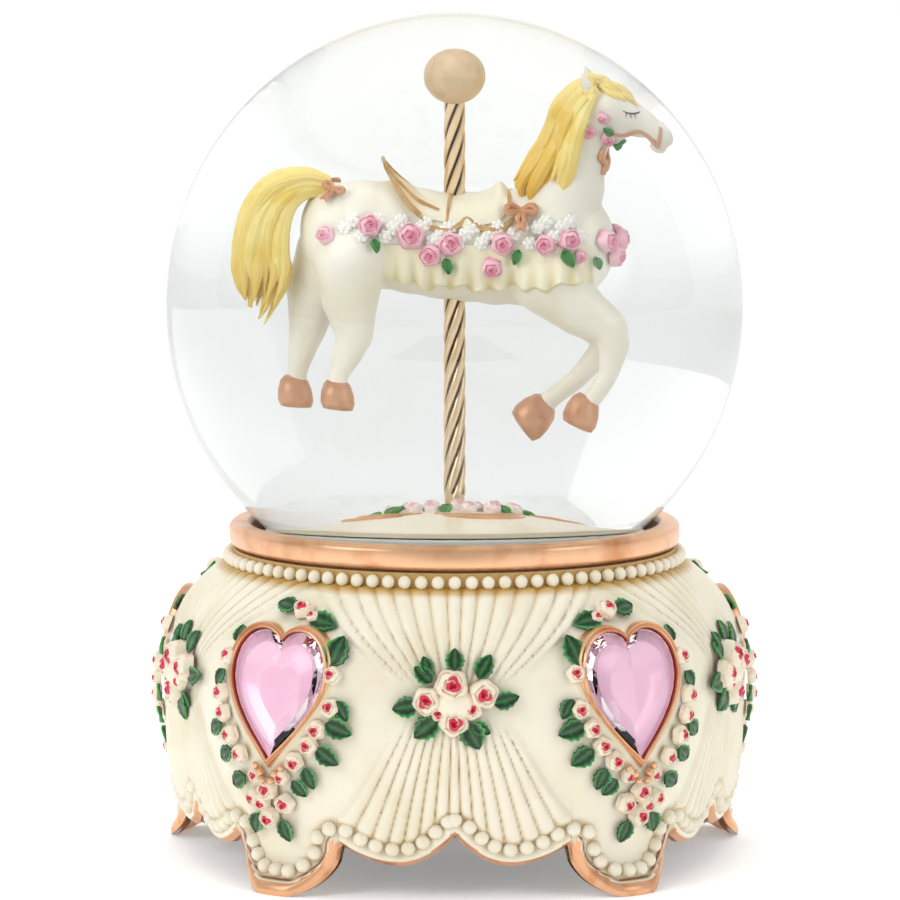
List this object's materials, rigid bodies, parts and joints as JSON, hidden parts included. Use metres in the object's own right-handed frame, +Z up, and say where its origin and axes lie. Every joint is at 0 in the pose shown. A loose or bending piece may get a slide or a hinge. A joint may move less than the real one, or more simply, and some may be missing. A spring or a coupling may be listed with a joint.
{
  "type": "wind up musical water globe",
  "caption": "Glass water globe with a carousel horse on a twisted pole, turned by magnets from a wind-up comb movement in a lobed footed base set with heart stones.",
  "frame": {"origin": "on the table, on the vertical axis of the globe, the carousel and the spring barrel", "axes": "+Z up; the front with a bouquet between two hearts faces -Y; the horse faces +X"},
  "size_m": [0.1026, 0.1054, 0.1462],
  "materials": {
    "cast_resin": "satin hand-painted polyresin",
    "copper_paint": "metallic copper paint over resin",
    "pink_acrylic": "polished faceted acrylic",
    "black_plate": "black moulded plate",
    "spring_steel": "bright",
    "globe_glass": "clear blown glass",
    "grey_rubber": "matt moulded rubber",
    "brass": "machined",
    "die_cast_zinc": "plain zinc die casting",
    "gilt_metal": "gilt, satin",
    "painted_figure_resin": "satin painted polyresin",
    "nickel_magnet": "nickel plated",
    "acetal": "moulded acetal"
  },
  "bodies": {
    "base": {"base_shell": "cast_resin", "globe_collar": "copper_paint", "heart_bezel_1": "copper_paint", "heart_bezel_2": "copper_paint", "heart_bezel_3": "copper_paint", "heart_bezel_4": "copper_paint", "heart_bezel_5": "copper_paint", "heart_gem_1": "pink_acrylic", "heart_gem_2": "pink_acrylic", "heart_gem_3": "pink_acrylic", "heart_gem_4": "pink_acrylic", "heart_gem_5": "pink_acrylic", "base_plate": "black_plate", "base_plate_screw_1": "spring_steel", "base_plate_screw_2": "spring_steel", "base_plate_screw_3": "spring_steel", "movement_screw_1": "spring_steel", "movement_screw_2": "spring_steel", "movement_screw_3": "spring_steel", "globe_glass": "globe_glass", "globe_stopper": "grey_rubber", "ground_mound": "cast_resin", "pole_bushing": "brass", "click_spring": "spring_steel", "movement_bedplate": "die_cast_zinc", "cylinder_bracket_inner": "die_cast_zinc", "cylinder_bracket_outer": "die_cast_zinc", "comb": "spring_steel", "comb_screw_1": "spring_steel", "comb_screw_2": "spring_steel", "governor_bracket": "die_cast_zinc"},
    "carousel": {"carousel_pole": "gilt_metal", "pole_ball": "gilt_metal", "horse_figure": "painted_figure_resin", "driven_magnet": "nickel_magnet"},
    "barrel": {"drive_magnet": "nickel_magnet", "magnet_carrier": "acetal", "output_spindle": "spring_steel", "crown_gear": "brass", "spring_barrel": "brass", "mainspring": "spring_steel"},
    "winder": {"winding_arbor": "spring_steel", "winding_key": "brass"},
    "cylinder": {"cylinder_arbor": "spring_steel", "pinned_cylinder": "brass", "cylinder_gear": "brass"},
    "governor_wheel": {"governor_arbor": "spring_steel", "governor_wheel": "brass"},
    "governor_worm": {"governor_worm": "spring_steel", "governor_fly": "acetal"}
  },
  "joints": [
    {"name": "barrel_turn", "type": "hinge", "parent": "base", "child": "barrel", "pos_m": [0, 0, 0.03], "axis": [0, 0, 1], "continuous": true},
    {"name": "carousel_turn", "type": "hinge", "parent": "base", "child": "carousel", "pos_m": [0, 0, 0.07], "axis": [0, 0, 1], "continuous": true},
    {"name": "winding_key_turn", "type": "hinge", "parent": "base", "child": "winder", "pos_m": [0, 0, 0.012], "axis": [0, 0, 1], "range_deg": [0, 1260]},
    {"name": "cylinder_turn", "type": "hinge", "parent": "base", "child": "cylinder", "pos_m": [0.024, 0, 0.03642], "axis": [1, 0, 0], "continuous": true},
    {"name": "governor_wheel_turn", "type": "hinge", "parent": "base", "child": "governor_wheel", "pos_m": [0.015, -0.00911, 0.04066], "axis": [1, 0, 0], "continuous": true},
    {"name": "governor_worm_turn", "type": "hinge", "parent": "base", "child": "governor_worm", "pos_m": [0.013, -0.01453, 0.04066], "axis": [0, 0, 1], "continuous": true}
  ],
  "couplings": [
    {"joint": "carousel_turn", "follows": "barrel_turn", "ratio": 1},
    {"joint": "cylinder_turn", "follows": "barrel_turn", "ratio": 3},
    {"joint": "governor_wheel_turn", "follows": "barrel_turn", "ratio": -9},
    {"joint": "governor_worm_turn", "follows": "barrel_turn", "ratio": -144}
  ]
}
